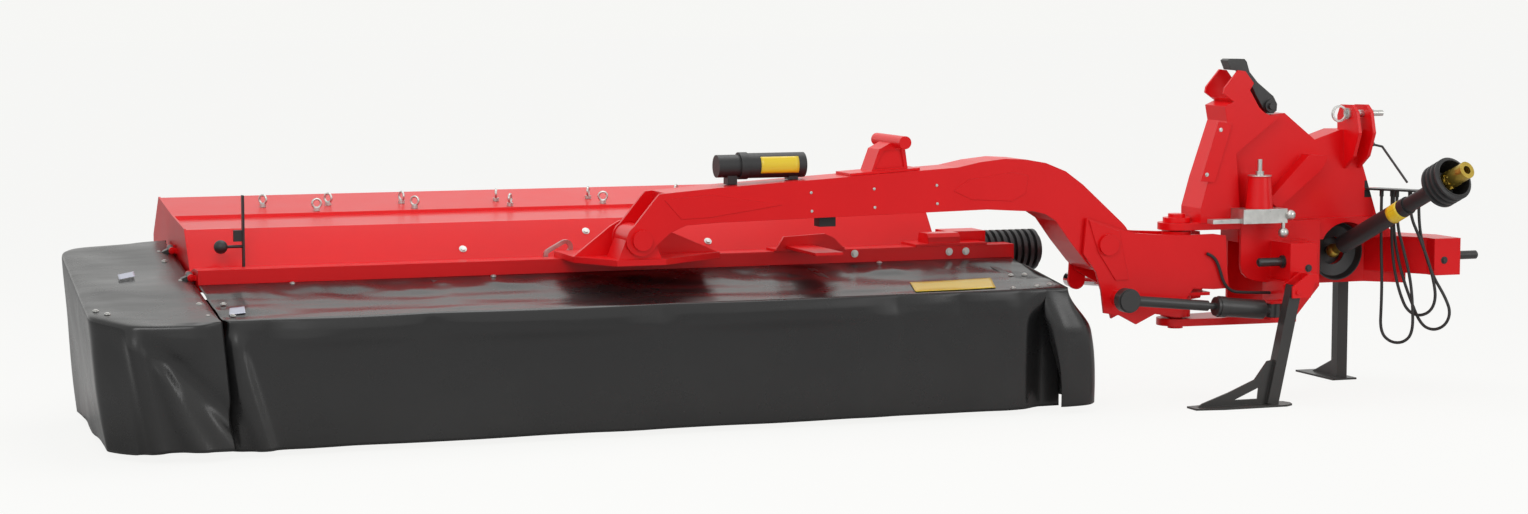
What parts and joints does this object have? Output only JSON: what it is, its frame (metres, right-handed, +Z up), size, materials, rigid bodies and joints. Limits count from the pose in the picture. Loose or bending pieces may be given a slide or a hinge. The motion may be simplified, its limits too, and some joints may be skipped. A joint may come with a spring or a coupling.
{
  "type": "disc mower conditioner",
  "caption": "Rear-mounted disc mower with tine conditioner, hung at its centre from a folding arm on a three-point headstock, parked on skids and stands.",
  "frame": {"origin": "middle of the machine's box, on the ground", "axes": "+X along the cutterbar towards the hitch, +Y rearwards away from the tractor, +Z up"},
  "size_m": [5.8576, 2.2366, 1.426],
  "materials": {
    "red_paint": "gloss machine enamel",
    "black_steel": "satin black enamel",
    "bare_steel": "zinc plated or bare steel",
    "chrome": "hard chrome rod",
    "curtain": "coated tarpaulin fabric",
    "black_plastic": "moulded black plastic",
    "yellow_yoke": "yellow passivated steel",
    "rubber": "moulded rubber"
  },
  "bodies": {
    "mower": {"cutterbar": "black_steel", "front_guard_frame": "black_steel", "cross_beam": "red_paint", "end_plate_left": "red_paint", "end_plate_right": "red_paint", "bearing_plate": "red_paint", "skids": "bare_steel", "blade_tool": "bare_steel", "conditioner_hood": "red_paint", "pivot_bracket": "red_paint", "stop_bracket": "red_paint", "mower_gearbox": "red_paint", "front_curtain": "curtain", "drive_bellows": "black_plastic", "rake_lever": "black_plastic"},
    "disc_1": {"disc_1": "bare_steel"},
    "disc_2": {"disc_2": "bare_steel"},
    "disc_3": {"disc_3": "bare_steel"},
    "disc_4": {"disc_4": "bare_steel"},
    "disc_5": {"disc_5": "bare_steel"},
    "disc_6": {"disc_6": "bare_steel"},
    "disc_7": {"disc_7": "bare_steel"},
    "disc_8": {"disc_8": "bare_steel"},
    "rotor": {"tine_rotor": "black_steel"},
    "board_left": {"swath_board_left": "black_steel"},
    "board_right": {"swath_board_right": "black_steel"},
    "outer_guard": {"outer_curtain": "curtain", "outer_guard_frame": "black_steel"},
    "arm": {"arm_beam": "red_paint", "saddle_bracket": "red_paint", "document_tube": "black_plastic", "stop_block": "rubber", "fold_pin": "red_paint", "pivot_pin": "red_paint"},
    "swing": {"swing_frame": "red_paint", "lift_pin": "red_paint", "inner_cardan": "black_plastic"},
    "lift_barrel": {"lift_barrel": "black_steel"},
    "lift_rod": {"lift_rod": "chrome"},
    "break_barrel": {"break_barrel": "black_steel"},
    "break_rod": {"break_rod": "black_steel"},
    "headstock": {"headstock_frame": "red_paint", "kingpin": "red_paint", "stand_socket": "black_steel", "headstock_gearbox": "black_steel", "lower_link_pin_left": "black_steel", "lower_link_pin_right": "black_steel", "shaft_hook": "black_steel", "top_link_pin": "bare_steel", "latch_block": "bare_steel", "input_cone": "black_plastic", "spring_pot": "red_paint", "hose_a": "rubber", "hose_b": "rubber", "hose_c": "rubber"},
    "transport_hook": {"transport_hook": "black_steel"},
    "stand_left": {"stand_left": "black_steel"},
    "stand_right": {"stand_right": "black_steel"},
    "shaft_guard": {"shaft_guard": "black_plastic"},
    "shaft": {"shaft_yoke": "yellow_yoke"}
  },
  "joints": [
    {"name": "swing", "type": "hinge", "parent": "headstock", "child": "swing", "pos_m": [1.58625, -0.3417, 0.525], "axis": [0, 0, -1], "range_deg": [0, 15]},
    {"name": "fold", "type": "hinge", "parent": "swing", "child": "arm", "pos_m": [1.20625, -0.3417, 0.668], "axis": [0, 1, 0], "range_deg": [0, 100]},
    {"name": "roll", "type": "hinge", "parent": "arm", "child": "mower", "pos_m": [-0.80075, -0.3417, 0.744], "axis": [0, 1, 0], "range_deg": [-3, 12]},
    {"name": "guard_fold", "type": "hinge", "parent": "mower", "child": "outer_guard", "pos_m": [-2.47475, 0.0183, 0.61286], "axis": [0, 0.9905, 0.1372], "range_deg": [0, 90]},
    {"name": "disc_1_spin", "type": "hinge", "parent": "mower", "child": "disc_1", "pos_m": [-2.18375, -0.2017, 0.098], "axis": [0, 0, 1], "continuous": true},
    {"name": "disc_2_spin", "type": "hinge", "parent": "mower", "child": "disc_2", "pos_m": [-1.77375, -0.2017, 0.098], "axis": [0, 0, 1], "continuous": true},
    {"name": "disc_3_spin", "type": "hinge", "parent": "mower", "child": "disc_3", "pos_m": [-1.36375, -0.2017, 0.098], "axis": [0, 0, 1], "continuous": true},
    {"name": "disc_4_spin", "type": "hinge", "parent": "mower", "child": "disc_4", "pos_m": [-0.95375, -0.2017, 0.098], "axis": [0, 0, 1], "continuous": true},
    {"name": "disc_5_spin", "type": "hinge", "parent": "mower", "child": "disc_5", "pos_m": [-0.54375, -0.2017, 0.098], "axis": [0, 0, 1], "continuous": true},
    {"name": "disc_6_spin", "type": "hinge", "parent": "mower", "child": "disc_6", "pos_m": [-0.13375, -0.2017, 0.098], "axis": [0, 0, 1], "continuous": true},
    {"name": "disc_7_spin", "type": "hinge", "parent": "mower", "child": "disc_7", "pos_m": [0.27625, -0.2017, 0.098], "axis": [0, 0, 1], "continuous": true},
    {"name": "disc_8_spin", "type": "hinge", "parent": "mower", "child": "disc_8", "pos_m": [0.68625, -0.2017, 0.098], "axis": [0, 0, 1], "continuous": true},
    {"name": "rotor_spin", "type": "hinge", "parent": "mower", "child": "rotor", "pos_m": [-0.89875, 0.3983, 0.4], "axis": [1, 0, 0], "continuous": true},
    {"name": "board_left_turn", "type": "hinge", "parent": "mower", "child": "board_left", "pos_m": [-2.28875, 0.7083, 0.5], "axis": [0, 0, -1], "range_deg": [0, 30]},
    {"name": "board_right_turn", "type": "hinge", "parent": "mower", "child": "board_right", "pos_m": [0.55125, 0.7083, 0.5], "axis": [0, 0, 1], "range_deg": [0, 30]},
    {"name": "lift_turn", "type": "hinge", "parent": "swing", "child": "lift_barrel", "pos_m": [1.73125, -0.1697, 0.44], "axis": [0, 1, 0], "range_deg": [0, 16.34]},
    {"name": "lift_stroke", "type": "slide", "parent": "lift_barrel", "child": "lift_rod", "axis": [-0.9944, 0, 0.1058], "range_m": [0, 0.1965]},
    {"name": "break_turn", "type": "hinge", "parent": "headstock", "child": "break_barrel", "pos_m": [1.93125, -0.5567, 0.379], "axis": [0, 0, -1], "range_deg": [0, 7.71]},
    {"name": "break_stroke", "type": "slide", "parent": "break_barrel", "child": "break_rod", "axis": [-0.9953, 0, 0.0965], "range_m": [0, 0.0511]},
    {"name": "hook_turn", "type": "hinge", "parent": "headstock", "child": "transport_hook", "pos_m": [1.99325, -0.3617, 1.226], "axis": [0, 1, 0], "range_deg": [0, 30]},
    {"name": "stand_left_fold", "type": "hinge", "parent": "headstock", "child": "stand_left", "pos_m": [1.94625, -0.6897, 0.47], "axis": [0, 1, 0], "range_deg": [0, 75]},
    {"name": "stand_right_lift", "type": "slide", "parent": "headstock", "child": "stand_right", "axis": [0, 0, 1], "range_m": [0, 0.3]},
    {"name": "shaft_lower", "type": "hinge", "parent": "headstock", "child": "shaft_guard", "pos_m": [2.36625, -0.3017, 0.594], "axis": [1, 0, 0], "range_deg": [-5, 20]},
    {"name": "shaft_spin", "type": "hinge", "parent": "shaft_guard", "child": "shaft", "pos_m": [2.36625, -0.3017, 0.594], "axis": [0.1498, -0.8874, 0.4359], "continuous": true}
  ],
  "couplings": [
    {"joint": "disc_2_spin", "follows": "disc_1_spin", "ratio": -1},
    {"joint": "disc_3_spin", "follows": "disc_1_spin", "ratio": 1},
    {"joint": "disc_4_spin", "follows": "disc_1_spin", "ratio": -1},
    {"joint": "disc_5_spin", "follows": "disc_1_spin", "ratio": 1},
    {"joint": "disc_6_spin", "follows": "disc_1_spin", "ratio": -1},
    {"joint": "disc_7_spin", "follows": "disc_1_spin", "ratio": 1},
    {"joint": "disc_8_spin", "follows": "disc_1_spin", "ratio": -1},
    {"joint": "lift_turn", "follows": "fold", "ratio": 0.15844},
    {"joint": "lift_stroke", "follows": "fold", "m_per_rad": 0.11147},
    {"joint": "break_turn", "follows": "swing", "ratio": 0.49386},
    {"joint": "break_stroke", "follows": "swing", "m_per_rad": 0.1913}
  ]
}
